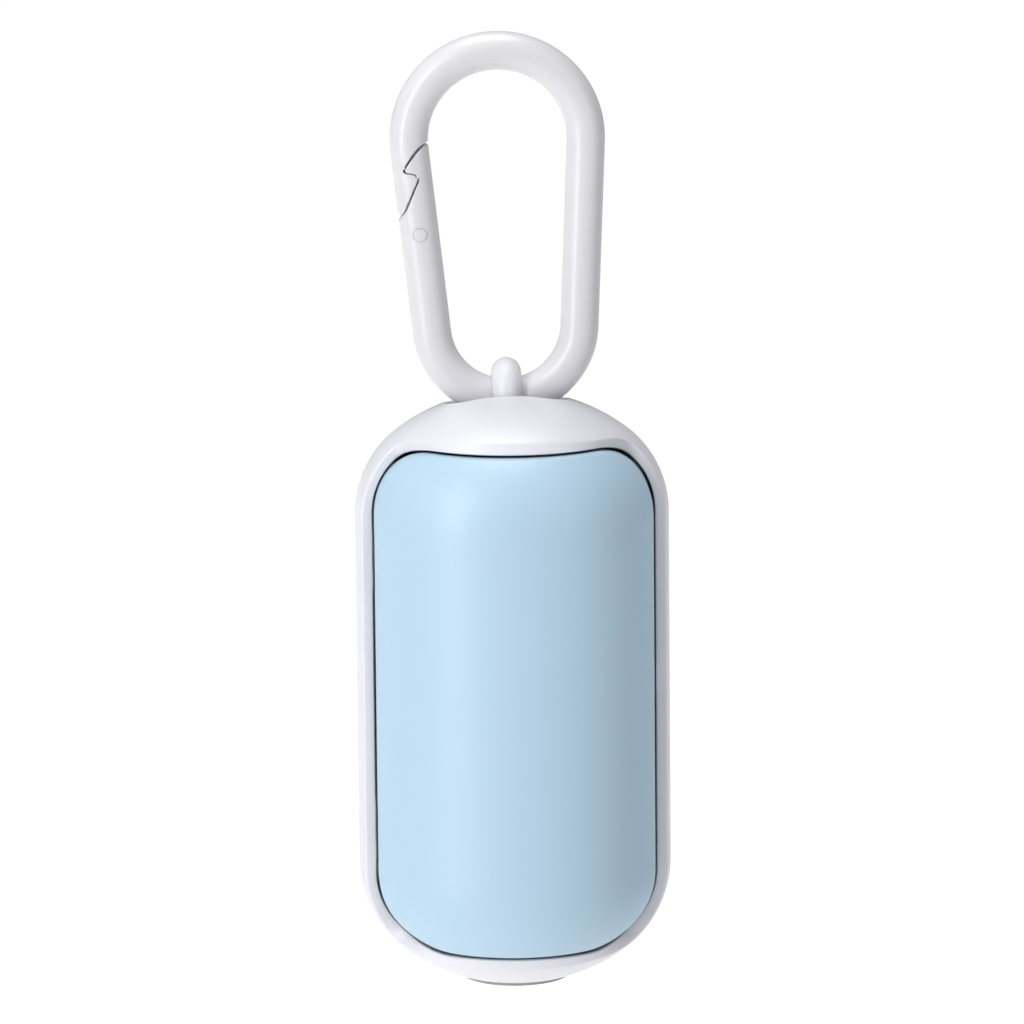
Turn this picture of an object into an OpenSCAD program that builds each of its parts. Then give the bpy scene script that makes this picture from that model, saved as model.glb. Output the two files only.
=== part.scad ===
// Bag dispenser: a domed two-shell case with a hinged front door, a soft outlet at the
// bottom, and a moulded snap loop that swings in a lug on top of the case.
// The origin is the hanging point, on the inside of the loop's top. +Z is up, and the
// door faces -Y. The case modules are drawn with z = 0 at the bottom of the shells and
// the case axis at x = 0, y = 0, and placed() then moves them under the hanging point.

/* [Case] */
// Room round the full bag roll, on the radius
roll_room = 2.3; // [2:0.1:3]
// Length of the bag roll that stands in the two domes
roll_in_domes = 8.4; // [6:0.2:10]
// How far the top dome falls short of a half ball
top_drop = 5; // [4.5:0.1:5.5]
// How far the bottom dome falls short of a half ball
bottom_drop = 4.4; // [4:0.1:5]
// Wall of the two shells
wall = 1.6; // [1.4:0.1:2]
// Distance of the seam between the shells behind the case axis
seam_y = 3; // [2:0.5:4]
// Thickness of the tongue that locates the rear shell
tongue_t = 0.7; // [0.5:0.05:0.8]
// Reach of the tongue past the seam
tongue_reach = 1.6; // [1:0.1:2.5]
// Clearance round the tongue
tongue_clear = 0.08; // [0.05:0.01:0.15]

/* [Opening] */
// Width of the case beside the opening, on each side
side_band = 2.18; // [2.1:0.02:2.4]
// Height of the crown above the opening
crown_h = 5.85; // [5.65:0.05:6.2]
// Height of the chin below the opening
chin_h = 6.25; // [5.9:0.05:6.6]
// How much narrower than the case's radius the opening's top corners are
top_corner_less_w = 12.8; // [11.8:0.1:13.8]
// How much lower than the case's radius the opening's top corners are
top_corner_less_h = 11.8; // [10.8:0.1:12.8]
// How much smaller than the case's radius the opening's bottom corners are
bottom_corner_less = 11.2; // [10:0.1:12]
// Visible width of the rim round the opening
rim_w = 1.6; // [1.45:0.05:1.8]
// How far the ledges above and below the opening lean out towards it
ledge_lean = 0.85; // [0.4:0.05:0.95]
// Distance of the side rims in front of the case axis
rim_y = 5.5; // [5.2:0.1:5.8]

/* [Door] */
// Gap between the door and the rim
door_gap = 0.31; // [0.3:0.01:0.45]
// Gap under the door's bottom edge
door_gap_bottom = 0.47; // [0.45:0.01:0.8]
// Wall of the door
door_wall = 1.3; // [1.1:0.05:1.4]
// How far the door's face lies behind the case's outline
door_inset = 0.2; // [0.1:0.05:0.4]
// Height of the friction catch on the door's free edge
catch_h = 3.7; // [3:0.1:6]
// Height of the catch's middle above the middle of the straight part
catch_up = 2; // [-4:0.2:6]
// How far the catch's rib stands out of the door's edge
catch_rib = 0.42; // [0.3:0.02:0.46]
// Clearance of the catch in the rim's notch
catch_clear = 0.3; // [0.2:0.05:0.5]
// Depth of the rim's notch
notch_depth = 0.2; // [0.15:0.01:0.3]

/* [Hinge] */
// Distance of the hinge axis inside the opening's left edge
hinge_in = 2.07; // [1.97:0.01:2.3]
// Distance of the hinge axis in front of the case axis
hinge_y = 7; // [6.9:0.05:7.1]
// Diameter of the steel hinge pins
pin_d = 1.2; // [1:0.05:1.3]
// Running clearance of the pins in the door's knuckles, on the radius
pin_clear = 0.05; // [0.03:0.01:0.08]
// Outer radius of the knuckles and ears
ear_r = 1.15; // [1.1:0.01:1.2]
// Height of each ear on the front frame
ear_h = 1.8; // [1.4:0.1:2.4]
// Height of each knuckle on the door
knuckle_h = 4; // [3:0.1:6]
// End clearance between an ear and a knuckle
knuckle_clear = 0.15; // [0.1:0.01:0.25]
// Distance of the lower hinge's middle above the straight part's lower end
lower_hinge_in = 5.4; // [4:0.1:10]
// Distance of the upper hinge's middle below the straight part's upper end
upper_hinge_in = 5.2; // [4:0.1:10]

/* [Lug] */
// Sideways offset of the lug from the case axis
lug_x = -0.5; // [-1:0.1:1]
// Width of the lug, seen from the front
lug_w = 4; // [3.4:0.1:4.6]
// Wall of the lug's legs, front and back
lug_leg = 1.45; // [1.2:0.05:1.6]
// Wall of the lug over the loop
lug_top = 2.4; // [2:0.1:3]
// Clearance of the loop in the lug, on the radius
lug_clear = 0.42; // [0.35:0.01:0.6]
// Depth of the loop's lowest middle line below the crown
lug_sink = 1.05; // [0.8:0.05:1.3]
// Radius of the lug's foot, which the shells trap
foot_r = 5.6; // [5:0.1:6]
// Thickness of the lug's foot
foot_t = 1.5; // [1.2:0.1:1.8]
// Clearance round the lug's foot and stem
foot_clear = 0.1; // [0.05:0.01:0.15]
// Length of the pocket that the loop dips into
pocket_l = 16; // [15:0.1:18]
// Clearance between the lug and the pocket's long sides
pocket_clear = 0.35; // [0.3:0.05:0.6]
// Corner radius of the pocket
pocket_corner = 3.5; // [2:0.1:4]

/* [Snap loop] */
// Diameter of the loop's round bar
bar_d = 5.15; // [4.8:0.05:5.4]
// Radius of the loop's lower bend, to the bar's middle
low_bend_r = 9.88; // [9.4:0.02:10.4]
// Distance between the middles of the two bends
bend_gap = 25; // [25:5:30]
// Lean of the loop to the left
loop_lean = 2; // [0:0.5:4]
// Width of the Z-shaped cut between the hook and the gate
cut_gap = 0.24; // [0.2:0.02:0.4]
// Clearance of the gate's bending place
flex_clear = 0.2; // [0.15:0.01:0.3]
// Diameter of the ejector mark on the gate
mark_d = 2; // [1.5:0.1:2.5]
// Depth of the ejector mark
mark_depth = 0.12; // [0.08:0.01:0.2]

/* [Liner and outlet] */
// Gap between the liner and the shells
liner_gap = 0.4; // [0.3:0.05:0.6]
// Wall of the liner
liner_wall = 1.2; // [1:0.05:1.4]
// Distance of the liner's front edges in front of the case axis
liner_front_y = 2.9; // [2:0.1:3.1]
// Distance of the liner's floor inside the case's outline, in front of its walls
floor_in = 7.5; // [7.4:0.1:8]
// Height of the ribs that carry the bag roll
rib_h = 2.8; // [2:0.1:4]
// Thickness of the ribs
rib_t = 1.2; // [1:0.1:2]
// Radius of the outlet hole in the shells
outlet_r = 7.5; // [6.5:0.1:8]
// Clearance of the soft outlet in the hole
outlet_clear = 0.12; // [0.08:0.01:0.2]
// Wall of the outlet's sleeve
sleeve_wall = 1.1; // [0.9:0.05:1.4]
// Radius of the outlet's flange
flange_r = 9.4; // [9:0.1:10]
// Thickness of the outlet's flange
flange_t = 1; // [0.8:0.1:1.4]
// Clearance round the outlet's flange
flange_clear = 0.2; // [0.1:0.05:0.4]
// How far the outlet's lens stands below the case
lens_proud = 0.4; // [0.2:0.05:0.8]
// Thickness of the outlet's lens
lens_t = 0.9; // [0.7:0.05:1.2]
// Radius of the lens's curve
lens_r = 32; // [28:1:60]
// Length of each slit in the lens
slit_l = 9; // [6:0.2:10]
// Width of each slit
slit_w = 0.3; // [0.2:0.02:0.5]
// Thickness of the ring that clamps the outlet's flange
clamp_t = 0.9; // [0.7:0.1:1.2]

/* [Bag roll] */
// Diameter of the full bag roll
roll_d = 31; // [29:0.5:34]
// Length of the bag roll
roll_l = 56; // [50:0.5:64]
// Outer diameter of the card core
core_d = 12; // [10:0.5:14]
// Wall of the card core
core_wall = 1; // [0.6:0.1:1.4]
// Play between the roll and what carries it
roll_play = 0.3; // [0.2:0.05:0.5]

/* [Hidden] */
$fn = 96;
over = 1;

// Case, built round the full roll
case_r = roll_d / 2 + roll_room + liner_wall + liner_gap + wall;
case_d = 2 * case_r;
top_dome_h = case_r - top_drop;
bottom_dome_h = case_r - bottom_drop;
straight_h = roll_l - roll_in_domes;
low_line = bottom_dome_h;
high_line = low_line + straight_h;
case_h = high_line + top_dome_h;

// Radius of the small flat in the middle of each dome, which the pocket and the outlet
// cut away.
crown_flat = 0.5;

// Opening, as heights in the case
opening_half = case_r - side_band;
opening_top = case_h - crown_h;
opening_bottom = chin_h;
top_corner_w = case_r - top_corner_less_w;
top_corner_h = case_r - top_corner_less_h;
bottom_corner_r = case_r - bottom_corner_less;
ledge_top = opening_top + rim_w;
ledge_bottom = opening_bottom - rim_w;
ledge_step = 0.06;
rim_back = rim_y - wall;

// Lug and pocket
bar_r = bar_d / 2;
lug_y = seam_y;
bar_z = case_h - lug_sink;
lug_bore_r = bar_r + lug_clear;
lug_half = lug_bore_r + lug_leg;
lug_peak = bar_z + lug_bore_r + lug_top;
pocket_floor = bar_z - lug_bore_r;
pocket_half = lug_half + pocket_clear;
foot_skin = 1;
boss_wall = 1.5;
foot_top = pocket_floor - foot_skin;
foot_bottom = foot_top - foot_t;
boss_r = foot_r + boss_wall;
boss_bottom = foot_bottom - foot_skin;

// Loop
lean_sin = 0.07584;
lean_cos = 0.99712;
lean = asin(lean_sin);
top_bend_r = low_bend_r + bend_gap * lean_sin;
leg_l = bend_gap * lean_cos;
low_bend_z = bar_z + low_bend_r;
top_bend_x = lug_x - bend_gap * sin(loop_lean);
top_bend_z = low_bend_z + bend_gap * cos(loop_lean);
hang_z = top_bend_z + top_bend_r - bar_r;
flex_up = 1.6;
// The cut, from the loop's inside down to its outside, as steps along the left leg:
// across the bar in bar radii, and up the leg from the lower bend in millimetres.
cut_across = [1.3, -0.62, -0.12, 0.16, -0.82, -1.3];
cut_up = [26.1, 21.9, 21.3, 20.6, 16.1, 14.8];

// Hinge: the ears' arms, the knuckles' arms, and the room for both in the door's rim
hinge_x = opening_half - hinge_in;
hinge_h = 2 * ear_h + knuckle_h + 2 * knuckle_clear;
lower_hinge_z = low_line + lower_hinge_in;
upper_hinge_z = high_line - upper_hinge_in;
ear_arm = 0.95;
ear_back_y = 3.3;
ear_arm_t = 0.9;
knuckle_arm = 4;
room_front = 0.9;
room_in = 2;

// Catch: a small block on the door's edge that carries the rib
catch_z = (low_line + high_line) / 2 + catch_up;
catch_block_t = 1;
catch_block_front = rim_y + 1.2;
catch_block_back = rim_y - 1.1;
catch_rib_y = rim_y - 0.6;
catch_rib_r = 0.5;

// Outlet, liner and roll. The liner's floor is wider behind its front edges.
liner_floor_r = case_r - floor_in;
liner_floor_back = 2;
rib_short = 0.6;
rib_out = 1;
flange_z = opening_bottom;
clamp_z = flange_z + flange_t;
liner_z = clamp_z + clamp_t;
roll_z = liner_z + liner_wall + rib_h + roll_play;

// Moves the case's own coordinates under the hanging point.
module placed() {
    translate([-top_bend_x, -lug_y, -hang_z]) children();
}

// What lies outside a dome's two arcs: a shoulder arc that runs into a crown arc. Their
// centres span a 3-4-5 triangle, so the height gives both radii.
module dome_outside(height, inset) {
    step = dome_step(height);
    shoulder_x = crown_flat + 3 * step;
    shoulder_r = case_r - shoulder_x;
    arc_r = shoulder_r - inset;
    meet = [shoulder_x + 0.6 * arc_r, 0.8 * arc_r];
    past = [shoulder_x + 1.2 * arc_r, 1.6 * arc_r];
    difference() {
        polygon([[shoulder_x, 0], [case_d, 0], [case_d, case_r], past]);
        translate([shoulder_x, 0]) circle(r = arc_r);
    }
    difference() {
        polygon([[crown_flat, -4 * step], meet, [case_d, meet[1]], [case_d, case_d], [crown_flat, case_d]]);
        translate([crown_flat, -4 * step]) circle(r = arc_r + 5 * step);
    }
    translate([-over, height - inset]) square([crown_flat + over, case_r]);
}

// Side of the unit of that triangle, for a dome of this height.
function dome_step(height) = (case_r - crown_flat - height) / 2;

// Half of the case's section, set in from the outer face by inset.
module case_section(inset) {
    difference() {
        square([case_r - inset, case_h]);
        translate([0, high_line]) dome_outside(top_dome_h, inset);
        translate([0, low_line]) mirror([0, 1]) dome_outside(bottom_dome_h, inset);
    }
}

// The case as a solid of revolution, set in by inset.
module case_solid(inset) {
    rotate_extrude() case_section(inset);
}

// The bag compartment inside the shells, between its floor and its ceiling.
module compartment(inset) {
    intersection() {
        case_solid(inset);
        translate([0, 0, opening_bottom]) cylinder(r = case_d, h = opening_top - opening_bottom);
    }
}

// The opening's outline seen from the front, grown by grow and raised at the bottom.
module outline(grow, lift) {
    half = opening_half + grow;
    inner_top = opening_half - top_corner_w;
    inner_low = opening_half - bottom_corner_r;
    top_z = opening_top - top_corner_h;
    low_z = opening_bottom + bottom_corner_r + lift;
    translate([-half, low_z]) square([2 * half, top_z - low_z]);
    translate([-inner_top, top_z]) square([2 * inner_top, top_corner_h + grow]);
    translate([-inner_low, low_z - bottom_corner_r - grow])
        square([2 * inner_low, bottom_corner_r + grow]);
    for (side = [-1, 1]) {
        translate([side * inner_top, top_z]) scale([top_corner_w + grow, top_corner_h + grow]) circle(r = 1);
        translate([side * inner_low, low_z]) circle(r = bottom_corner_r + grow);
    }
}

// The outline as a bar along Y, from the distance near in front of the axis to far.
module outline_bar(grow, lift, near, far) {
    translate([0, -far, 0]) rotate([90, 0, 0]) linear_extrude(near - far) outline(grow, lift);
}

// The pocket in the top dome that the loop's lower bend dips into.
module pocket() {
    half_l = pocket_l / 2 - pocket_corner;
    half_w = pocket_half - pocket_corner;
    translate([lug_x, lug_y, pocket_floor]) linear_extrude(case_h) {
        for (x = [-half_l, half_l], y = [-half_w, half_w]) translate([x, y]) circle(r = pocket_corner);
        translate([-half_l, -pocket_half]) square([2 * half_l, 2 * pocket_half]);
        translate([-pocket_l / 2, -half_w]) square([pocket_l, 2 * half_w]);
    }
}

// The hollow that traps the lug's foot and lets its stem through.
module foot_hollow() {
    translate([lug_x, lug_y, foot_bottom - foot_clear])
        cylinder(r = foot_r + foot_clear, h = foot_t + 2 * foot_clear);
    translate([lug_x, lug_y, foot_bottom]) stem(foot_clear, pocket_floor - foot_bottom + over);
}

// The lug's upright section: a bar with round front and back, extruded up.
module stem(grow, height) {
    end_y = lug_half - lug_w / 2;
    for (side = [-1, 1])
        translate([0, side * end_y, 0]) cylinder(r = lug_w / 2 + grow, h = height);
    translate([-lug_w / 2 - grow, -end_y, 0]) cube([lug_w + 2 * grow, 2 * end_y, height]);
}

// What both shells are cut from: walls, solid caps, the boss under the pocket and the
// rim behind the opening, less the pocket, the hollow for the lug's foot and the outlet.
module shells() {
    difference() {
        union() {
            difference() {
                case_solid(0);
                compartment(wall);
            }
            translate([lug_x, lug_y, boss_bottom])
                cylinder(r = boss_r, h = opening_top - boss_bottom + over);
            intersection() {
                difference() {
                    outline_bar(rim_w, 0, rim_y + rim_w, rim_back);
                    outline_bar(-over, 0, rim_y + 2 * rim_w, 0);
                }
                case_solid(wall / 2);
            }
        }
        pocket();
        foot_hollow();
        translate([0, 0, -over]) cylinder(r = outlet_r, h = opening_bottom + 2 * over);
        translate([0, 0, opening_bottom])
            cylinder(r = flange_r + flange_clear, h = flange_t + clamp_t + over);
    }
}

// The half space in front of the seam, or behind it.
module front_of_seam() {
    translate([-case_d, seam_y - 2 * case_d, -over]) cube([2 * case_d, 2 * case_d, case_h + 2 * over]);
}

// Clears the front of the case down to the side rims, and leaves the ledges that frame
// the opening at its top and bottom.
module rim_cut() {
    slope = ledge_lean / rim_w;
    top_r = ledge_reach(top_dome_h, ledge_top - high_line) - ledge_step;
    bottom_r = ledge_reach(bottom_dome_h, low_line - ledge_bottom) - ledge_step;
    intersection() {
        translate([-case_d, -rim_y - case_d, 0]) cube([2 * case_d, case_d, case_h]);
        union() {
            translate([0, 0, opening_bottom]) cylinder(r = case_d, h = opening_top - opening_bottom);
            difference() {
                translate([0, 0, ledge_bottom]) cylinder(r = case_d, h = ledge_top - ledge_bottom);
                translate([0, 0, opening_top - over])
                    cylinder(r1 = top_r + slope * (rim_w + over), r2 = top_r - slope * over,
                             h = rim_w + 2 * over);
                translate([0, 0, ledge_bottom - over])
                    cylinder(r1 = bottom_r - slope * over, r2 = bottom_r + slope * (rim_w + over),
                             h = rim_w + 2 * over);
            }
        }
    }
}

// Radius of a dome's outer face at a height above its spring line.
function ledge_reach(height, up) =
    let (step = dome_step(height), shoulder_r = case_r - crown_flat - 3 * step)
    crown_flat + (up > 0.8 * shoulder_r ? sqrt(pow(shoulder_r + 5 * step, 2) - pow(up + 4 * step, 2))
                                        : 3 * step + sqrt(shoulder_r * shoulder_r - up * up));

// One ear of the frame's hinge: round the pin, straight back, then across to the wall.
module ear() {
    cylinder(r = ear_r, h = ear_h);
    translate([-ear_arm, 0, 0]) cube([2 * ear_arm, hinge_y - ear_back_y, ear_h]);
    translate([hinge_x - case_r + wall / 2, hinge_y - ear_back_y - ear_arm_t, 0])
        cube([case_r - wall / 2 - hinge_x + ear_arm, ear_arm_t, ear_h]);
}

// Puts something on the hinge axis at the foot of the hinge whose middle is at mid_z.
module at_hinge(mid_z) {
    translate([-hinge_x, -hinge_y, mid_z - hinge_h / 2]) children();
}

module front_frame() {
    color("whitesmoke") placed() difference() {
        union() {
            difference() {
                intersection() {
                    shells();
                    front_of_seam();
                }
                rim_cut();
                outline_bar(0, 0, case_d, rim_back - wall / 2);
                intersection() {
                    compartment(wall - tongue_t - tongue_clear);
                    translate([-case_d, seam_y - tongue_reach - tongue_clear, 0])
                        cube([2 * case_d, case_d, case_h]);
                }
                translate([0, -rim_y - over, catch_z - catch_h / 2 - catch_clear])
                    cube([opening_half + notch_depth, rim_y + over, catch_h + 2 * catch_clear]);
            }
            for (mid_z = [lower_hinge_z, upper_hinge_z]) at_hinge(mid_z) {
                ear();
                translate([0, 0, hinge_h - ear_h]) ear();
            }
        }
        for (mid_z = [lower_hinge_z, upper_hinge_z])
            at_hinge(mid_z) translate([0, 0, -over]) cylinder(d = pin_d, h = hinge_h + 2 * over);
    }
}

module rear_shell() {
    color("whitesmoke") placed() {
        intersection() {
            shells();
            translate([0, 2 * case_d, 0]) front_of_seam();
        }
        intersection() {
            difference() {
                compartment(wall - tongue_t);
                case_solid(wall);
            }
            translate([-case_d, seam_y - tongue_reach, 0]) cube([2 * case_d, 2 * tongue_reach, case_h]);
        }
    }
}

// The door's curved panel, before its hinge places are cut.
module door_panel() {
    intersection() {
        difference() {
            case_solid(door_inset);
            case_solid(door_inset + door_wall);
        }
        outline_bar(-door_gap, door_gap_bottom - door_gap, case_d, rim_w);
    }
}

module front_door() {
    edge_x = opening_half - door_gap;
    color("lightblue") placed() difference() {
        union() {
            difference() {
                door_panel();
                for (mid_z = [lower_hinge_z, upper_hinge_z]) at_hinge(mid_z) {
                    translate([-case_r, -room_front, -knuckle_clear])
                        cube([case_r + room_in, case_r, hinge_h + 2 * knuckle_clear]);
                }
            }
            for (mid_z = [lower_hinge_z, upper_hinge_z])
                at_hinge(mid_z) translate([0, 0, ear_h + knuckle_clear]) {
                    cylinder(r = ear_r, h = knuckle_h);
                    translate([-ear_r, -knuckle_arm, 0]) cube([2 * ear_r, knuckle_arm, knuckle_h]);
                }
            translate([edge_x - catch_block_t, -catch_block_front, catch_z - catch_h / 2])
                cube([catch_block_t, catch_block_front - catch_block_back, catch_h]);
            translate([edge_x + catch_rib - catch_rib_r, -catch_rib_y, catch_z - catch_h / 2])
                cylinder(r = catch_rib_r, h = catch_h);
        }
        for (mid_z = [lower_hinge_z, upper_hinge_z])
            at_hinge(mid_z) cylinder(r = pin_d / 2 + pin_clear, h = hinge_h);
    }
}

// A headless steel pin, as long as its hinge is high.
module hinge_pin(mid_z) {
    color("silver") placed() at_hinge(mid_z) cylinder(d = pin_d, h = hinge_h);
}

module hanging_lug() {
    arch_z = lug_peak - lug_half;
    color("white") placed() translate([lug_x, lug_y, 0]) {
        difference() {
            intersection() {
                translate([0, 0, foot_top - over]) stem(0, lug_peak);
                union() {
                    translate([-lug_w, 0, arch_z]) rotate([0, 90, 0]) cylinder(r = lug_half, h = 2 * lug_w);
                    translate([-lug_w, -lug_half, 0]) cube([2 * lug_w, 2 * lug_half, arch_z]);
                }
                union() {
                    translate([0, lug_half, lug_peak - lug_w / 2]) rotate([90, 0, 0])
                        cylinder(r = lug_w / 2, h = 2 * lug_half);
                    translate([-lug_w, -lug_half, 0]) cube([2 * lug_w, 2 * lug_half, lug_peak - lug_w / 2]);
                }
            }
            translate([-lug_w, 0, bar_z]) rotate([0, 90, 0]) cylinder(r = lug_bore_r, h = 2 * lug_w);
        }
        translate([0, 0, foot_bottom]) cylinder(r = foot_r, h = foot_t);
    }
}

// Turns the loop's own coordinates, with the lower bend's middle at 0, into the case's.
module loop_place() {
    translate([lug_x, lug_y, low_bend_z]) rotate([0, -loop_lean, 0]) children();
}

// The whole loop: two bends and two legs that touch both of them.
module loop_bar() {
    difference() {
        bend(low_bend_r);
        for (side = [-1, 1]) leg_place(side) translate([-case_r, -bar_d, 0])
            cube([case_r + bar_d, 2 * bar_d, case_r]);
    }
    translate([0, 0, bend_gap]) difference() {
        bend(top_bend_r);
        intersection_for(side = [-1, 1]) rotate([0, side * lean, 0]) translate([-case_r, -bar_d, -case_r])
            cube([2 * case_r, 2 * bar_d, case_r]);
    }
    for (side = [-1, 1]) leg_place(side) cylinder(r = bar_r, h = leg_l);
}

// A full ring of the loop's bar, standing in the loop's plane.
module bend(bend_r) {
    rotate([90, 0, 0]) rotate_extrude() translate([bend_r, 0]) circle(r = bar_r);
}

// Stands something on a leg's foot, along the leg. Side -1 is the left leg.
module leg_place(side) {
    rotate([0, side * lean, 0]) translate([side * low_bend_r, 0, 0]) children();
}

// The gate's outline, seen from the front, in the left leg's own coordinates.
module gate_outline(grow) {
    cut = [for (i = [0:len(cut_up) - 1]) [cut_across[i] * bar_r, cut_up[i]]];
    offset(delta = grow) polygon(concat(cut, [[-2 * bar_r, flex_up], [2 * bar_r, flex_up],
                                              [2 * bar_r, cut_up[0]]]));
}

// The gate's outline as a bar through the leg, with its round lower end.
module gate_bar(grow, flex_grow) {
    leg_place(-1) rotate([90, 0, 0]) {
        translate([0, 0, -bar_d]) linear_extrude(2 * bar_d) gate_outline(grow);
        translate([0, flex_up, -bar_d]) cylinder(r = bar_r + flex_grow, h = 2 * bar_d);
    }
}

module carabiner_loop() {
    color("white") placed() loop_place() difference() {
        loop_bar();
        gate_bar(cut_gap, flex_clear);
    }
}

module carabiner_gate() {
    mark_up = 12.9;
    color("white") placed() loop_place() difference() {
        intersection() {
            loop_bar();
            gate_bar(0, 0);
        }
        leg_place(-1) translate([0, -bar_r + mark_depth, mark_up]) rotate([90, 0, 0])
            cylinder(d = mark_d, h = bar_r);
    }
}

module roll_liner() {
    rib_in = outlet_r + rib_out;
    color("tan") placed() {
        intersection() {
            difference() {
                compartment(wall + liner_gap);
                case_solid(wall + liner_gap + liner_wall);
            }
            translate([-case_d, -liner_front_y, liner_z])
                cube([2 * case_d, case_d, boss_bottom - liner_z - over]);
        }
        difference() {
            union() {
                translate([0, 0, liner_z]) cylinder(r = liner_floor_r, h = liner_wall);
                intersection() {
                    translate([0, 0, liner_z]) cylinder(r = liner_floor_r + liner_floor_back, h = liner_wall);
                    translate([-case_d, -liner_front_y, liner_z]) cube([2 * case_d, case_d, liner_wall]);
                }
            }
            translate([0, 0, liner_z - over]) cylinder(r = outlet_r - sleeve_wall, h = liner_wall + 2 * over);
        }
        for (turn = [45:90:315]) rotate([0, 0, turn])
            translate([rib_in, -rib_t / 2, liner_z])
                cube([liner_floor_r - rib_in - rib_short, rib_t, liner_wall + rib_h]);
    }
}

module outlet_valve() {
    sleeve_r = outlet_r - outlet_clear;
    lens_mid = lens_r - lens_proud;
    color("tan") placed() difference() {
        union() {
            translate([0, 0, flange_z]) cylinder(r = flange_r, h = flange_t);
            intersection() {
                translate([0, 0, -over]) cylinder(r = sleeve_r, h = flange_z + 2 * over);
                translate([0, 0, lens_mid]) sphere(r = lens_r);
            }
        }
        intersection() {
            translate([0, 0, -over]) cylinder(r = sleeve_r - sleeve_wall, h = flange_z + flange_t + 2 * over);
            translate([0, 0, lens_mid]) sphere(r = lens_r - lens_t);
        }
        for (turn = [0, 90]) rotate([0, 0, turn])
            translate([-slit_l / 2, -slit_w / 2, -over]) cube([slit_l, slit_w, lens_t + 2 * over]);
    }
}

module valve_clamp_ring() {
    color("gainsboro") placed() translate([0, 0, clamp_z]) difference() {
        cylinder(r = flange_r, h = clamp_t);
        translate([0, 0, -over]) cylinder(r = outlet_r - sleeve_wall, h = clamp_t + 2 * over);
    }
}

module bag_roll() {
    color("darkseagreen") placed() translate([0, 0, roll_z]) difference() {
        cylinder(d = roll_d, h = roll_l);
        translate([0, 0, -over]) cylinder(d = core_d, h = roll_l + 2 * over);
    }
}

module roll_core() {
    color("burlywood") placed() translate([0, 0, roll_z]) difference() {
        cylinder(d = core_d, h = roll_l);
        translate([0, 0, -over]) cylinder(d = core_d - 2 * core_wall, h = roll_l + 2 * over);
    }
}

front_frame();
rear_shell();
front_door();
hinge_pin(upper_hinge_z);  // hinge_pin_upper
hinge_pin(lower_hinge_z);  // hinge_pin_lower
hanging_lug();
carabiner_loop();
carabiner_gate();
roll_liner();
outlet_valve();
valve_clamp_ring();
bag_roll();
roll_core();
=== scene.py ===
# Waste bag dispenser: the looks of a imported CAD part, piece by piece.
# Lengths are metres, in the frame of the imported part: +Z up, the door faces -Y.

# %% [markdown]
# ## Frame
# The looks are built round a part that is already constructed, with its joints. Every
# piece below is measured in this frame, so it can't drift from the construction.

# %% Load the frame
import math

import bmesh
import bpy
from mathutils import Matrix, Vector


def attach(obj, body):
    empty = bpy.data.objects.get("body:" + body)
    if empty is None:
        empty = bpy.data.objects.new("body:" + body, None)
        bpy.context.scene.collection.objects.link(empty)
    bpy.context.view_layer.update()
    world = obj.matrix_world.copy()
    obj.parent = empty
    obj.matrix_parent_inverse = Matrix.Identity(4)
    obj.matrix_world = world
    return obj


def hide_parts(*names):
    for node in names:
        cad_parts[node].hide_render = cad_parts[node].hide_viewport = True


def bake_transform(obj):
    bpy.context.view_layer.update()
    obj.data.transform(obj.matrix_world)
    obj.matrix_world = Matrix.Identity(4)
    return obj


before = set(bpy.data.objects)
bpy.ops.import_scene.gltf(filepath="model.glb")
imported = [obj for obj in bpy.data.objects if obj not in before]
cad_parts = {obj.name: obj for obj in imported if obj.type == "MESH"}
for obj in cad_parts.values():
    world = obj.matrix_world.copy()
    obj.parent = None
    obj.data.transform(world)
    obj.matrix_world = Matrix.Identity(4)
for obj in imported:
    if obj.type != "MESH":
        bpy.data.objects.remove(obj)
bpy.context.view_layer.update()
print("nodes", sorted(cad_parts))

# %% [markdown]
# ## The case's own coordinates
# The case is a capsule, 42 mm across and 80 mm tall. The part's origin is where it hangs,
# so heights in the case would all be odd negative numbers. It is easier to draw it in
# millimetres with its lowest point at 0; CASE then moves a point to its place.

# %% Case coordinates
MM = 0.001
CASE_AXIS = Vector((1.37249, -3.0, -123.216))
CASE = Matrix.Scale(MM, 4) @ Matrix.Translation(CASE_AXIS)
CASE_R, CASE_H = 21.0, 80.2
LOW_LINE, HIGH_LINE = 16.6, 64.2  # the straight part lies between these heights
CROWN_FLAT = 0.5
print("the case's axis is at", [round(c * MM, 4) for c in CASE_AXIS])

# %% [markdown]
# ## The dome's section
# Each end of the case is a shoulder arc that runs into a flatter crown arc. A sphere,
# scaled, would be quicker, but its walls would change thickness when it is set in. The
# arcs' centres span a 3-4-5 triangle, so one height gives both radii.

# %% Section helpers
def dome(height, inset=0.0):
    """Shoulder centre, shoulder radius, crown centre height and crown radius."""
    step = (CASE_R - CROWN_FLAT - height) / 2
    shoulder_x = CROWN_FLAT + 3 * step
    shoulder_r = CASE_R - shoulder_x
    return shoulder_x, shoulder_r - inset, -4 * step, shoulder_r + 5 * step - inset


def reach(z, inset=0.0):
    """Radius of the case, set in by inset, at height z."""
    if z > HIGH_LINE:
        height, up = CASE_H - HIGH_LINE, z - HIGH_LINE
    elif z < LOW_LINE:
        height, up = LOW_LINE, LOW_LINE - z
    else:
        return CASE_R - inset
    shoulder_x, shoulder_r, crown_z, crown_r = dome(height, inset)
    if up < 0.8 * shoulder_r:
        return shoulder_x + math.sqrt(max(shoulder_r ** 2 - up ** 2, 0))
    if up >= height - inset:
        return 0.0
    return CROWN_FLAT + math.sqrt(max(crown_r ** 2 - (up - crown_z) ** 2, 0))


print("case radius at mid height", reach(40), "near the top", round(reach(78), 2))

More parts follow.
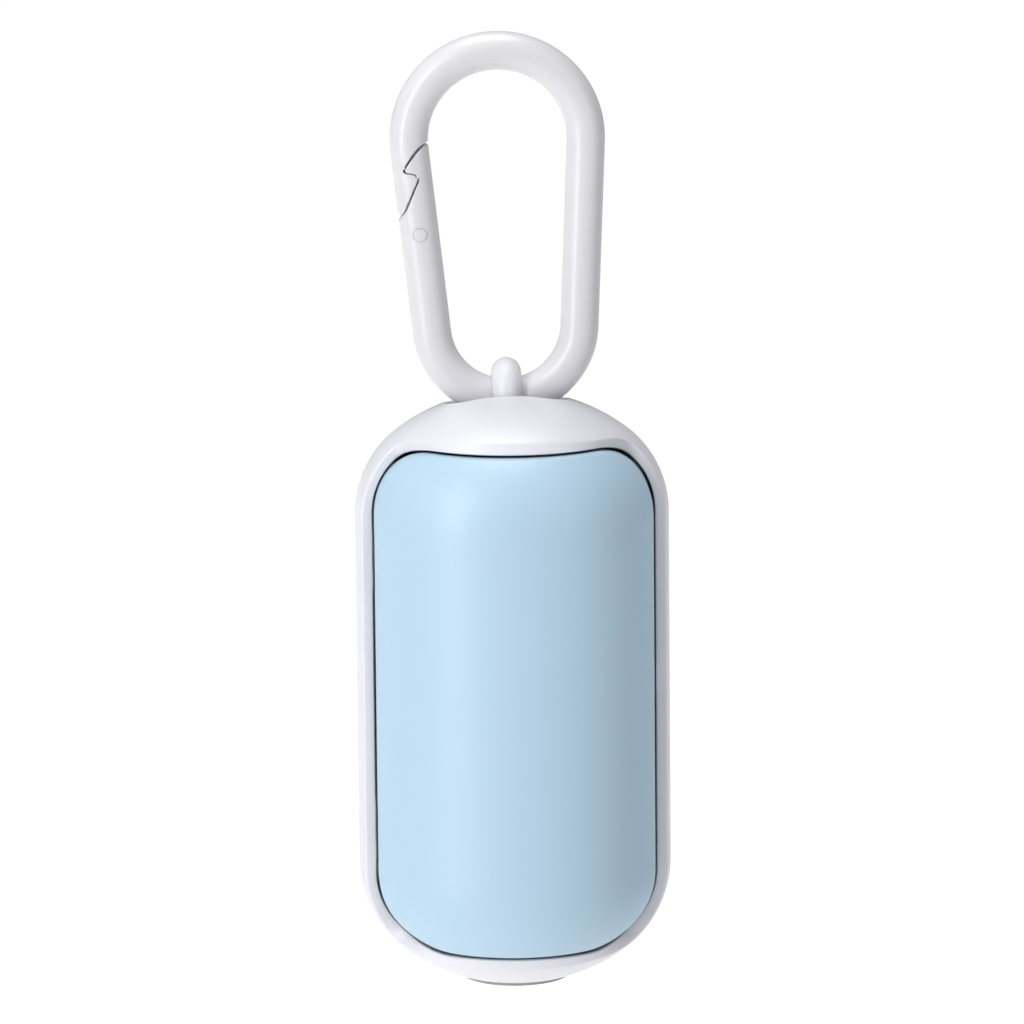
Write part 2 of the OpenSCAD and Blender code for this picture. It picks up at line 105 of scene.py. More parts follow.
# %% [markdown]
# ## The opening's outline
# Seen from the front the opening is a tall rounded shape: elliptical corners at the top,
# round ones at the bottom. It could be a curve, projected onto the case. A test for
# inside or outside is simpler, and shrunk a little it also serves the door.

# %% Outline
OPENING_TOP, OPENING_BOTTOM, OPENING_HALF = 74.35, 6.25, 18.82
TOP_CORNER = (8.2, 9.2)
BOTTOM_CORNER = 9.8


def in_opening(x, z, grow=0.0, lift=0.0):
    """True inside the opening's outline, grown by grow and raised at the bottom by lift."""
    x, half = abs(x), OPENING_HALF + grow
    if x > half or z > OPENING_TOP + grow or z < OPENING_BOTTOM - grow + lift:
        return False
    dx, dz = x - (OPENING_HALF - TOP_CORNER[0]), z - (OPENING_TOP - TOP_CORNER[1])
    if dx > 0 and dz > 0:
        return (dx / (TOP_CORNER[0] + grow)) ** 2 + (dz / (TOP_CORNER[1] + grow)) ** 2 < 1
    dx, dz = x - (OPENING_HALF - BOTTOM_CORNER), OPENING_BOTTOM + BOTTOM_CORNER + lift - z
    return not (dx > 0 and dz > 0) or math.hypot(dx, dz) < BOTTOM_CORNER + grow


print("the opening is", 2 * OPENING_HALF, "by", round(OPENING_TOP - OPENING_BOTTOM, 2), "mm")

# %% [markdown]
# ## Rays
# The rings of a shell join up only if all have as many points, in step with each other.
# So every ring is measured along the same rays, sideways along the straight part and
# fanwise in the domes. Where a ray crosses a surface is found by halving: it works for
# any test and needs no algebra.

# %% Rays
def ray_fan(dome_steps, side_steps):
    """(start, direction) of each ray, once round the case, seen from the front."""
    rays = []
    for side, near, far in ((1, HIGH_LINE, LOW_LINE), (-1, LOW_LINE, HIGH_LINE)):
        for i in range(dome_steps):
            turn = math.pi * (i / dome_steps + (side < 0))
            rays.append((Vector((0, 0, near)), Vector((math.cos(turn), 0, math.sin(turn)))))
        for i in range(side_steps):
            rays.append((Vector((0, 0, near + (far - near) * i / side_steps)), Vector((-side, 0, 0))))
    return rays


def far_in(test, far=30.0):
    """The largest distance at which test is still true, by halving."""
    near = 0.0
    for _ in range(32):
        middle = (near + far) / 2
        near, far = (middle, far) if test(middle) else (near, middle)
    return near


def outline_reach(ray, grow=0.0, lift=0.0):
    start, way = ray
    return far_in(lambda d: in_opening(way.x * d, start.z + way.z * d, grow, lift))


def case_reach(ray, y, inset=0.0):
    """How far out along a ray the case still has the depth y."""
    start, way = ray

    def inside(d):
        z = start.z + way.z * d
        return inset < z < CASE_H - inset and math.hypot(way.x * d, y) < reach(z, inset)

    return far_in(inside)


RAYS = ray_fan(88, 36)
OPENING_REACH = [outline_reach(ray) for ray in RAYS]
print("rays", len(RAYS), "reach", round(min(OPENING_REACH), 2), "to", round(max(OPENING_REACH), 2))

# %% [markdown]
# ## Lofting with operators
# A moulded shell is a stack of rings. By hand one would extrude an outline again and
# again and push it into shape. This does the same: a circle of vertices is extruded to
# each further ring and moved to its place. The even quads take a bevel and smooth
# shading well.

# %% Loft helper
def place(ring, points):
    for vert, point in zip(ring, points):
        vert.co = point


def loft(rings, close=False, fill=False):
    """A bmesh of quads through equally long rings, its ends joined, filled or left open."""
    bm = bmesh.new()
    made = bmesh.ops.create_circle(bm, segments=len(rings[0]), radius=1)
    ring = made["verts"]
    place(ring, rings[0])
    edges = [bm.edges.get((ring[i], ring[(i + 1) % len(ring)])) for i in range(len(ring))]
    first_edges, order = edges, ring
    for points in rings[1:]:
        out = bmesh.ops.extrude_edge_only(bm, edges=edges)
        verts = {v for v in out["geom"] if isinstance(v, bmesh.types.BMVert)}
        order = [next(v for v in (e.other_vert(old) for e in old.link_edges) if v in verts)
                 for old in order]
        place(order, points)
        edges = [bm.edges.get((order[i], order[(i + 1) % len(order)])) for i in range(len(order))]
    if close:
        bmesh.ops.bridge_loops(bm, edges=first_edges + edges)
    if fill:
        bmesh.ops.holes_fill(bm, edges=[e for e in bm.edges if e.is_boundary], sides=0)
    return bm


def joined(bms):
    """Several bmeshes as one."""
    first = bms[0]
    for other in bms[1:]:
        mesh = bpy.data.meshes.new("join")
        other.to_mesh(mesh)
        other.free()
        first.from_mesh(mesh)
        bpy.data.meshes.remove(mesh)
    return first

# %% [markdown]
# ## From mesh to piece
# A mesh in case millimetres still has to become a piece of the part: cleaned, moved to
# its place, given a finish, and tied to the body that it moves with. Smooth shading over
# a real edge looks swollen, so edges that turn by more than a limit are marked sharp.

# %% Finishing helpers
def put(name, data):
    """A new object in the scene."""
    made = bpy.data.objects.new(name, data)
    bpy.context.scene.collection.objects.link(made)
    return made


def soften(piece, sharp=None):
    """Smooth faces, with a crease where two of them turn by more than sharp degrees."""
    mesh = piece.data
    for face in mesh.polygons:
        face.use_smooth = True
    if sharp:
        limit = math.radians(sharp)
        bm = bmesh.new()
        bm.from_mesh(mesh)
        for edge in bm.edges:
            edge.smooth = len(edge.link_faces) != 2 or edge.calc_face_angle(0) < limit
        bm.to_mesh(mesh)
        bm.free()


def finish_mesh(bm, name, material, body, node=None, merge=1e-4, sharp=None):
    """Turns a bmesh in case millimetres into a placed, smooth piece that rides a body."""
    bmesh.ops.remove_doubles(bm, verts=bm.verts, dist=merge)
    bmesh.ops.dissolve_degenerate(bm, dist=merge, edges=bm.edges)
    bmesh.ops.recalc_face_normals(bm, faces=bm.faces)
    bmesh.ops.transform(bm, matrix=CASE, verts=bm.verts)
    mesh = bpy.data.meshes.new(name)
    bm.to_mesh(mesh)
    bm.free()
    piece = put(name, mesh)
    soften(piece, sharp)
    mesh.materials.append(material)
    if body:
        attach(piece, body)
    if node:
        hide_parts(*node)
    print(name, len(mesh.vertices), "vertices")
    return piece

# %% [markdown]
# ## Cutting
# Pockets, holes and notches run across the quads of a loft. Building them into its rings
# would bend the whole grid, so they are cut with exact booleans.

# %% Cutting helper
def cut(piece, shapes, how="DIFFERENCE"):
    """Cuts bmeshes in case millimetres out of a piece."""
    for shape in shapes:
        tool = finish_mesh(shape, "cutter", piece.data.materials[0], None)
        step = piece.modifiers.new("cut", "BOOLEAN")
        step.operation, step.solver, step.object = how, "EXACT", tool
        bpy.context.view_layer.objects.active = piece
        with bpy.context.temp_override(object=piece, active_object=piece, selected_objects=[piece]):
            bpy.ops.object.modifier_apply(modifier=step.name)
        bpy.data.objects.remove(tool)

# %% [markdown]
# ## Shader nodes
# Every finish here is a small tree of nodes. A few helpers keep the trees readable. They
# make a node with its values set, start a material, make a noise on Object coordinates,
# which stays put on a piece that moves, and map it to the range that an input wants.

# %% Shader helpers
def fill_in(made, **inputs):
    """Sets inputs of a node by name, with _ for a space."""
    for name, value in inputs.items():
        made.inputs[name.replace("_", " ")].default_value = value
    return made


def node(tree, kind, **inputs):
    return fill_in(tree.nodes.new(kind), **inputs)


def finish_tree(name):
    """A new material, its node tree, its shader and its Object coordinates."""
    made = bpy.data.materials.new(name)
    made.use_nodes = True
    tree = made.node_tree
    coords = tree.nodes.new("ShaderNodeTexCoord")
    return made, tree, tree.nodes["Principled BSDF"], coords.outputs["Object"]


def noise(tree, coords, scale, detail=3.0, rough=0.55, stretch=None):
    """A noise between 0 and 1, stretched by a scale of its own for each axis if need be."""
    made = node(tree, "ShaderNodeTexNoise", Scale=scale, Detail=detail, Roughness=rough)
    if stretch:
        mapping = node(tree, "ShaderNodeMapping", Scale=stretch)
        tree.links.new(coords, mapping.inputs["Vector"])
        coords = mapping.outputs["Vector"]
    tree.links.new(coords, made.inputs["Vector"])
    return made.outputs["Fac"]


def spread(tree, value, low, high):
    """Maps the middle half of a 0 to 1 value to low to high."""
    made = node(tree, "ShaderNodeMapRange", From_Min=0.25, From_Max=0.75, To_Min=low, To_Max=high)
    tree.links.new(value, made.inputs["Value"])
    return made.outputs["Result"]

# %% [markdown]
# ## Moulded plastic
# Satin ABS isn't one flat colour. It has a very fine grain, and faint clouds in its tone
# and gloss. An image could carry them, but would need an unwrapped mesh and show seams.
# Noise at three scales does it on any piece: in colour, in roughness, and as a bump.

# %% Plastic material
PLASTIC_IOR = 1.49
CLOUDS, PATCHES, GRAIN = 60.0, 220.0, 5200.0  # noise scales, per metre
GRAIN_DEPTH = 0.00006


def plastic(name, colour, gloss=0.38, shade=0.03, grain=0.05, coat=0.0, streak=None, patchy=0.02):
    """Satin moulded plastic: colour, roughness and a fine bump, all slightly uneven."""
    made, tree, shader, coords = finish_tree(name)
    mix = tree.nodes.new("ShaderNodeMix")
    mix.data_type = "RGBA"
    mix.inputs[6].default_value = [c * (1 - shade) for c in colour] + [1]
    mix.inputs[7].default_value = [min(c * (1 + shade), 1) for c in colour] + [1]
    tree.links.new(noise(tree, coords, CLOUDS), mix.inputs[0])
    tree.links.new(mix.outputs[2], shader.inputs["Base Color"])
    rough = spread(tree, noise(tree, coords, PATCHES, 4.0, stretch=streak), gloss - patchy, gloss + patchy)
    tree.links.new(rough, shader.inputs["Roughness"])
    bump = node(tree, "ShaderNodeBump", Strength=grain, Distance=GRAIN_DEPTH)
    tree.links.new(noise(tree, coords, GRAIN, 2.0), bump.inputs["Height"])
    tree.links.new(bump.outputs["Normal"], shader.inputs["Normal"])
    fill_in(shader, Coat_Weight=coat, Coat_Roughness=0.3, IOR=PLASTIC_IOR)
    return made


SHELL_WHITE = plastic("shell_white", (0.78, 0.78, 0.83), 0.36, 0.02)
print("made", SHELL_WHITE.name)

# %% [markdown]
# ## Where the lip runs
# The front shell has a soft lip round the opening, level along the straight part and a
# ledge that swings forward in the domes. An opening cut out of a finished capsule would
# have no such lip, so its depth is worked out for each ray: at its inner edge, and at
# the ridge where it meets the outside.

# %% The lip's depth
RIM_Y = 5.5
LEDGE_TOP_R, LEDGE_BOTTOM_R, LEDGE_LEAN = 14.38, 14.77, 0.85
FOLLOW, FOLLOW_IN, FOLLOW_FROM = 0.5, 1.75, -17  # how far the lip follows the case's own curve
SWELL = 9.0


def lip_depth(index, lean):
    """Depth of the lip: level at the sides, and forward with the domes' ledges."""
    start, way = RAYS[index]
    if not way.z:
        return -RIM_Y
    x, z = way.x * OPENING_REACH[index], start.z + way.z * OPENING_REACH[index]
    ledge = (LEDGE_TOP_R if way.z > 0 else LEDGE_BOTTOM_R) + lean
    forward = math.sqrt(max(ledge ** 2 - x ** 2, 0))
    depth = (RIM_Y ** SWELL + forward ** SWELL) ** (1 / SWELL)
    follow = math.sqrt(max((reach(z) - FOLLOW_IN) ** 2 - x * x, 0)) - (LEDGE_LEAN - lean)
    share = FOLLOW * min(max((x - FOLLOW_FROM) / 2, 0), 1)
    return -depth - max(follow - depth, 0) * share


LIP_Y = [lip_depth(i, LEDGE_LEAN) for i in range(len(RAYS))]
RIDGE_Y = [lip_depth(i, 0) for i in range(len(RAYS))]
RIDGE_REACH = [case_reach(ray, y) for ray, y in zip(RAYS, RIDGE_Y)]
print("the lip lies", round(-max(LIP_Y), 2), "to", round(-min(LIP_Y), 2), "mm in front of the axis")

# %% [markdown]
# ## The front shell's inside
# Behind the lip the shell is hollow. Solidify could give the skin a thickness, but not a
# flat floor and ceiling, nor a lip that stays thin. So the inside has rings of its own:
# the case less its wall, then the opening's outline up to the lip.

# %% Rings of the inside
WALL, SEAM_Y = 1.6, 3.0
LIP_T, HOLLOW, HOLLOW_IN = 0.5, 1.5, 1.0
OPENING_BACK = -3.9
LIP_EDGE = 0.2


def inner_reach(ray, y):
    """The compartment's skin: the case less its wall, between its floor and ceiling."""
    start, way = ray
    d = case_reach(ray, y, WALL)
    if way.z > 0:
        d = min(d, (OPENING_TOP - start.z) / way.z)
    if way.z < 0:
        d = min(d, (OPENING_BOTTOM - start.z) / way.z)
    return d


def hollow(ray, d, y, deep):
    """Behind the lip the two domes are hollowed out a little, so the lip stays thin."""
    share = deep * min(1.0, abs(ray[1].z) * 2.5)
    return max(d, min(d + HOLLOW * share, case_reach(ray, y, HOLLOW_IN)))


def ring_at(reaches, depths):
    return [ray[0] + ray[1] * d + Vector((0, y, 0)) for ray, d, y in zip(RAYS, reaches, depths)]


def level(y):
    return [y] * len(RAYS)


def inner_ring(y):
    return ring_at([inner_reach(ray, y) for ray in RAYS], level(y))


def skin_ring(depths, less=0.0):
    """The ring where the case's own skin has the given depths."""
    return ring_at([case_reach(ray, y) - less for ray, y in zip(RAYS, depths)], depths)


rings = [inner_ring(y) for y in (SEAM_Y, 1.0, -1.0, -2.6, -3.3)]
rings.append(ring_at(OPENING_REACH, level(OPENING_BACK)))
behind = OPENING_BACK - 0.1
for back, deep in ((None, 1), (LIP_T + 0.3, 1), (LIP_T, 0), (LIP_EDGE, 0)):
    depths = [behind if back is None else min(y + back, behind - 0.1 * deep) for y in LIP_Y]
    rings.append(ring_at([hollow(ray, d, y, deep)
                          for ray, d, y in zip(RAYS, OPENING_REACH, depths)], depths))
print(len(rings), "rings inside")

# %% [markdown]
# ## Lip, ridge and outside
# The rings go on over the lip: a small round at its inner edge, its leaning face, a soft
# ridge, and the outside back to the seam. A bevel would round the ridge too, but pinches
# in tight corners, so the ridge is a short curve. At the seam the skin draws in a
# little, so a fine line shows there.

# %% Front shell
RIDGE_ROUND, SEAM_SOFT = 0.3, 0.07
SHELL_CREASE = 38
for turn in (22.5, 45, 67.5, 90):
    out, back = 1 - math.cos(math.radians(turn)), 1 - math.sin(math.radians(turn))
    rings.append(ring_at([d + LIP_EDGE * out for d in OPENING_REACH], [y + LIP_EDGE * back for y in LIP_Y]))
shoulder = [max(r - RIDGE_ROUND, d + LIP_EDGE + 0.1) for r, d in zip(RIDGE_REACH, OPENING_REACH)]
shoulder_y = [a + (b - a) * (s - d - LIP_EDGE) / (r - d - LIP_EDGE)
              for a, b, s, d, r in zip(LIP_Y, RIDGE_Y, shoulder, OPENING_REACH, RIDGE_REACH)]
rings.append(ring_at([(d + LIP_EDGE + s) / 2 for d, s in zip(OPENING_REACH, shoulder)],
                     [(a + b) / 2 for a, b in zip(LIP_Y, shoulder_y)]))

ridge, start_ring = ring_at(RIDGE_REACH, RIDGE_Y), ring_at(shoulder, shoulder_y)
outer_y = [y + RIDGE_ROUND for y in RIDGE_Y]
outer_ring = skin_ring(outer_y)
for t in (step / 6 for step in range(7)):
    rings.append([a * (1 - t) ** 2 + b * 2 * t * (1 - t) + c * t * t
                  for a, b, c in zip(start_ring, ridge, outer_ring)])
for step in range(1, 13):
    depths = [y + (SEAM_Y - SEAM_SOFT - y) * step / 12 for y in outer_y]
    rings.append(skin_ring(depths))
rings.append(skin_ring(level(SEAM_Y), SEAM_SOFT))
front_shell = finish_mesh(loft(rings, close=True), "front_shell", SHELL_WHITE, "case",
                          ["front_frame"], sharp=SHELL_CREASE)

# %% [markdown]
# ## Rear shell
# The rear shell carries the same skin on round the back. The front could be mirrored, but
# the back has no opening. Instead each ray turns backwards from the seam in steps, and
# the last ring closes to a line, where its doubles merge.

# %% Rear shell
def on_case(start, direction, inset=0.0):
    """Where a ray from inside the case meets it."""
    def inside(d):
        point = start + direction * d
        return (inset < point.z < CASE_H - inset
                and math.hypot(point.x, point.y) < reach(point.z, inset))

    return start + direction * far_in(inside, 40.0)


def back_point(ray, turn, inset=0.0):
    """The skin's point on a ray that is turned backwards from the seam towards +Y."""
    start, way = ray
    aim = way * math.cos(turn) + Vector((0, 1, 0)) * math.sin(turn)
    point = on_case(start, aim, inset)
    if inset:
        point.z = min(max(point.z, OPENING_BOTTOM), OPENING_TOP)
    return point


def back_rings(inset):
    y = SEAM_Y + SEAM_SOFT
    starts = [math.atan2(y, case_reach(ray, y, inset)) for ray in RAYS]
    steps = 26
    return [[back_point(ray, a + (math.pi / 2 - a) * i / steps, inset) for ray, a in zip(RAYS, starts)]
            for i in range(steps + 1)]


outside = [skin_ring(level(SEAM_Y), SEAM_SOFT)] + back_rings(0.0)
inside = back_rings(WALL)[::-1] + [inner_ring(SEAM_Y)]
bm = joined([loft(outside), loft(inside)])
open_edges = [e for e in bm.edges if e.is_boundary
              and all(abs(v.co.y - SEAM_Y) < 1e-3 for v in e.verts)]
bmesh.ops.bridge_loops(bm, edges=open_edges)
rear_skin = finish_mesh(bm, "rear_skin", SHELL_WHITE, "case", ["rear_shell"],
                        sharp=SHELL_CREASE)

# %% [markdown]
# ## The door's outline
# The door leaves a narrow gap all round. At its lower corners its face stands furthest
# before the lip and would hide the gap from the front, so the door draws in there. An
# offset of the outline by one number couldn't do that.

# %% The door's outline
DOOR_GAP, DOOR_LIFT = 0.31, 0.16


def corner_gap(way):
    """The door's edge draws in at its lower corners, where it stands furthest before the lip."""
    if way.z >= 0:
        return 0.0
    turn = math.atan2(-way.z, abs(way.x)) / (math.pi / 2)
    broad = max(math.sin(math.pi * turn ** 0.55), 0) ** 1.6
    narrow = math.exp(-((turn - 0.35) / 0.16) ** 2)
    return 0.11 * math.sin(turn * math.pi / 2) + 0.22 * broad + 0.4 * narrow


DOOR_REACH = [outline_reach(ray, -DOOR_GAP - corner_gap(ray[1]), DOOR_LIFT) for ray in RAYS]
print("the door reaches", round(min(DOOR_REACH), 2), "to", round(max(DOOR_REACH), 2))

# %% [markdown]
# ## Door
# The door is a thin curved panel of pale blue ABS, a touch glossier than the shells. Cut
# from the case's skin it would have ragged faces at its edge, where the eye goes first.
# Here it is filled with ever smaller copies of its outline, on the case's curve set in
# by 0.2 mm, and its two edges are bevelled.

# %% Door
DOOR_BLUE = plastic("door_blue", (0.466, 0.648, 0.782), 0.43, 0.012, coat=0.12, patchy=0.012)
DOOR_INSET, DOOR_HANG, DOOR_WALL = 0.2, -0.1, 1.3
DOOR_SHARES = [0.0, 0.04, 0.1, 0.18, 0.27, 0.36, 0.45, 0.53, 0.61, 0.68, 0.74, 0.8, 0.85, 0.89,
               0.925, 0.955, 0.98, 1.0]


def door_ring(share, inset):
    points = []
    for (start, way), d in zip(RAYS, DOOR_REACH):
        x, z = way.x * d * share, start.z + way.z * d * share
        points.append(Vector((x + DOOR_HANG, -math.sqrt(max(reach(z, inset) ** 2 - x * x, 0)), z)))
    return points


def bevel(bm, edges, offset, segments, clamp=True):
    bmesh.ops.bevel(bm, geom=edges, offset=offset, offset_type="OFFSET", segments=segments,
                    profile=0.5, affect="EDGES", material=-1, clamp_overlap=clamp)


def edges_along(bm, ring):
    """The edges of a bmesh that lie on a ring of points."""
    keys = {tuple(round(c, 4) for c in p) for p in ring}
    return [e for e in bm.edges if all(tuple(round(c, 4) for c in v.co) in keys for v in e.verts)]


outer = [door_ring(s, DOOR_INSET) for s in DOOR_SHARES]
inner = [door_ring(s, DOOR_INSET + DOOR_WALL) for s in DOOR_SHARES[::-1]]
bm = loft(outer + inner)
for ring, soft, segments in ((outer[-1], 0.4, 5), (inner[0], 0.2, 2)):
    bevel(bm, edges_along(bm, ring), soft, segments)
door_panel = finish_mesh(bm, "door_panel", DOOR_BLUE, "door", ["front_door"], sharp=50)

# %% [markdown]
# ## Prisms
# Ears, knuckles, the catch and most cutters are upright prisms: a flat outline, extruded.
# Cubes and cylinders would have to be cut to such shapes first. Here the outline is a
# list of points, and a small bevel breaks its edges, as a mould does.

# %% Prism helpers
def sharp_edges(bm, angle):
    """The edges of a bmesh where two faces turn by more than angle degrees."""
    return [e for e in bm.edges if len(e.link_faces) == 2 and e.calc_face_angle(0) > math.radians(angle)]


def prism(points, low, high, soft=0.0):
    """An upright prism over (x, y) points, its edges rounded by soft."""
    bm = bmesh.new()
    face = bm.faces.new([bm.verts.new((x, y, low)) for x, y in points])
    up = bmesh.ops.extrude_face_region(bm, geom=[face])
    tops = [g for g in up["geom"] if isinstance(g, bmesh.types.BMVert)]
    bmesh.ops.translate(bm, verts=tops, vec=(0, 0, high - low))
    bmesh.ops.recalc_face_normals(bm, faces=bm.faces)
    if soft:
        bevel(bm, sharp_edges(bm, 40), soft, 3)
    return bm


def rectangle(x0, x1, y0, y1):
    return [(x0, y0), (x1, y0), (x1, y1), (x0, y1)]


def arc(x, y, r, start, end, steps=16):
    return [(x + r * math.cos(math.radians(start + (end - start) * i / steps)),
             y + r * math.sin(math.radians(start + (end - start) * i / steps))) for i in range(steps + 1)]

# %% [markdown]
# ## Hinges
# The door turns on two short steel pins. Two ears on the shell hold each pin, and between
# them runs a knuckle on the door. Booleans could join them to the walls, but behind the
# door nobody sees a weld: it is enough that each reaches into the wall that carries it.

# %% Ears and knuckles
HINGE_X, HINGE_Y = -16.75, -7.0
HINGE_MIDDLES = (22.0, 59.0)
EAR_H, KNUCKLE_H, END_GAP, EAR_R = 1.8, 4.0, 0.15, 1.15
EAR_FRONT, EAR_BACK, EAR_ROOT = -4.2, -3.3, -18.2
HINGE_H = 2 * EAR_H + KNUCKLE_H + 2 * END_GAP
SOFT = 0.12


def ear(low, high):
    """One ear of the shell: round the pin, with an arm back and out to the shell's wall."""
    return prism(arc(HINGE_X, HINGE_Y, EAR_R, 180, 360)
                 + [(HINGE_X + 0.95, EAR_BACK - 0.15), (HINGE_X + 0.6, EAR_BACK), (EAR_ROOT, EAR_BACK),
                    (EAR_ROOT, EAR_FRONT), (HINGE_X - 0.95, EAR_FRONT - 0.3)], low, high, SOFT)


def knuckle(low):
    """One knuckle of the door: round the pin, with an arm forward to the panel."""
    return prism(arc(HINGE_X, HINGE_Y, EAR_R, 0, 180)
                 + [(HINGE_X - EAR_R, -10.5), (HINGE_X + 0.6, -11.4), (HINGE_X + EAR_R, -11.2)],
                 low, low + KNUCKLE_H, SOFT)


ears, knuckles = [], []
for low in (middle - HINGE_H / 2 for middle in HINGE_MIDDLES):
    ears += [ear(low, low + EAR_H), ear(low + HINGE_H - EAR_H, low + HINGE_H)]
    knuckles.append(knuckle(low + EAR_H + END_GAP))
finish_mesh(joined(ears), "hinge_ears", SHELL_WHITE, "case", sharp=SHELL_CREASE)
finish_mesh(joined(knuckles), "door_knuckles", DOOR_BLUE, "door", sharp=SHELL_CREASE)

# %% [markdown]
# ## Room for the ears
# The door's edge is cut back at each hinge, or it would turn into the ears as it opens. A
# plain prism does for the cutter, as the cut lies behind the lip.

# %% Notches for the ears
NOTCH_FRONT, NOTCH_IN = -7.9, -14.75
notches = []
for middle in HINGE_MIDDLES:
    low, high = middle - HINGE_H / 2 - END_GAP, middle + HINGE_H / 2 + END_GAP
    notches.append(prism(rectangle(-30, NOTCH_IN, NOTCH_FRONT, 0), low, high))
cut(door_panel, notches)
soften(door_panel, 50)
print("door", len(door_panel.data.polygons), "faces after the cuts")

# %% [markdown]
# ## Catch
# A small rib on the door's free edge clicks into a notch in the shell's lip and keeps the
# door shut. From outside it is only a slight step in the gap, so a rounded prism, and a
# cutter a little larger than it, are enough.

# %% Catch
CATCH_Z, CATCH_H, CATCH_ROOM = 42.4, 3.7, 0.3
RIB_X, RIB_Y, RIB_R = 18.22, -4.9, 0.5
NOTCH_X = RIB_X + RIB_R + 0.15
low, high = CATCH_Z - CATCH_H / 2, CATCH_Z + CATCH_H / 2
rib = prism(arc(RIB_X, RIB_Y, RIB_R, -90, 90, 10) + [(17.5, -4.4), (17.5, -6.6), (RIB_X, -6.6)],
            low, high, 0.1)
finish_mesh(rib, "door_catch", DOOR_BLUE, "door", sharp=SHELL_CREASE)
cut(front_shell, [prism(rectangle(10, NOTCH_X, -5.9, -3.0), low - CATCH_ROOM, high + CATCH_ROOM)])

# %% [markdown]
# ## The pocket's plan
# The lug stands in a pocket in the crown, a rounded rectangle from above. One of four
# long sides wouldn't do, since the pocket's mouth has to follow the crown's curve, so its
# points lie close together all round.

# %% The pocket's plan
LUG_X, LUG_Y = -0.5, 3.0
BAR_R, BAR_Z = 2.575, CASE_H - 1.05
POCKET_FLOOR = BAR_Z - BAR_R - 0.42
POCKET_HALF, POCKET_CORNER = (8.0, 4.795), 3.5


def pocket_plan():
    """The pocket's rounded plan, in points about 0.7 mm apart."""
    corners = []
    for quarter, (sx, sy) in enumerate([(1, 1), (-1, 1), (-1, -1), (1, -1)]):
        x, y = sx * (POCKET_HALF[0] - POCKET_CORNER), sy * (POCKET_HALF[1] - POCKET_CORNER)
        corners += arc(LUG_X + x, LUG_Y + y, POCKET_CORNER, quarter * 90, quarter * 90 + 90, 12)
    points = []
    for (x, y), (x2, y2) in zip(corners, corners[1:] + corners[:1]):
        steps = max(1, round(math.hypot(x2 - x, y2 - y) / 0.7))
        points += [Vector((x + (x2 - x) * k / steps, y + (y2 - y) * k / steps, 0)) for k in range(steps)]
    return points


def crown_height(x, y):
    """Height of the case's crown over a point of the plan."""
    radius = math.hypot(x, y)
    _, _, crown_z, crown_r = dome(CASE_H - HIGH_LINE)
    if radius < CROWN_FLAT:
        return CASE_H
    return HIGH_LINE + crown_z + math.sqrt(crown_r ** 2 - (radius - CROWN_FLAT) ** 2)


print("the pocket's floor is", round(CASE_H - POCKET_FLOOR, 2), "mm below the top")

# %% [markdown]
# ## Pocket
# A plain boolean leaves a knife edge at the pocket's mouth, and a bevel there would run
# across the shell's quads and fail. So the cutter carries the round itself: it is lofted
# up from the floor, and flares where it passes the crown's surface.

# %% Pocket
POCKET_LIP = 0.55


def grown_plan(grow, height_at):
    """The pocket's plan, grown outwards, each point at a height of its own."""
    flat_x, flat_y = POCKET_HALF[0] - POCKET_CORNER, POCKET_HALF[1] - POCKET_CORNER
    ring = []
    for p in pocket_plan():
        core = Vector((min(max(p.x, LUG_X - flat_x), LUG_X + flat_x),
                       min(max(p.y, LUG_Y - flat_y), LUG_Y + flat_y), 0))
        at = p + (p - core).normalized() * grow
        ring.append(Vector((at.x, at.y, height_at(at.x, at.y))))
    return ring


def pocket_cutter():
    """The pocket's space, its mouth flared by a quarter round that follows the crown."""
    stack = [grown_plan(grow, lambda x, y: POCKET_FLOOR + up)
             for grow, up in ((-0.45, 0), (-0.13, 0.13), (0, 0.45))]
    stack.append(grown_plan(0, lambda x, y: max(crown_height(x, y) - POCKET_LIP, POCKET_FLOOR + 0.6)))
    for turn in (25, 45, 62, 76):
        out, up = 1 - math.cos(math.radians(turn)), math.sin(math.radians(turn))
        stack.append(grown_plan(POCKET_LIP * out, lambda x, y: crown_height(x, y) - POCKET_LIP * (1 - up)))
    stack.append(grown_plan(POCKET_LIP * 1.6, lambda x, y: crown_height(x, y) + 0.35))
    stack.append(grown_plan(POCKET_LIP * 1.6, lambda x, y: CASE_H + 6))
    return loft(stack, fill=True)


for shell in (front_shell, rear_skin):
    cut(shell, [pocket_cutter()])

# %% [markdown]
# ## Outlet hole
# The soft outlet shows through a round hole in the bottom, half of it in each shell. One
# round cutter goes through both, so the two halves match.

# %% Outlet hole
OUTLET_R = 7.5
for shell in (front_shell, rear_skin):
    cut(shell, [prism(arc(0, 0, OUTLET_R, 0, 360, 96)[:-1], -2, OPENING_BOTTOM + 1.0)])
    soften(shell, SHELL_CREASE)
    print(shell.name, len(shell.data.polygons), "faces after the cuts")

# %% [markdown]
# ## The loop's centre line
# The snap loop is a round bar: a small bend below, two legs that lean apart, and a wide
# bend on top. A curve object with a round bevel would make it at once, but where it is
# cut matters here. So the line is a list of stations, each with its outward direction.

# %% Stations
LOW_BEND_R, TOP_BEND_R, BEND_GAP = 9.88, 11.776, 25.0
LOW_BEND_Z = POCKET_FLOOR + 12.875
LEG_LEAN, LOOP_LEAN = math.radians(4.3496), math.radians(-2)
LEG_L = 24.928
SEAM_UP = -1.5
LOOP = Matrix.Translation((LUG_X, LUG_Y, LOW_BEND_Z)) @ Matrix.Rotation(LOOP_LEAN, 4, "Y")


def leg_frame(side):
    """Coordinates of a leg: x across it, z up along it. Side -1 is the left leg."""
    return LOOP @ Matrix.Rotation(side * LEG_LEAN, 4, "Y") @ Matrix.Translation((side * LOW_BEND_R, 0, 0))


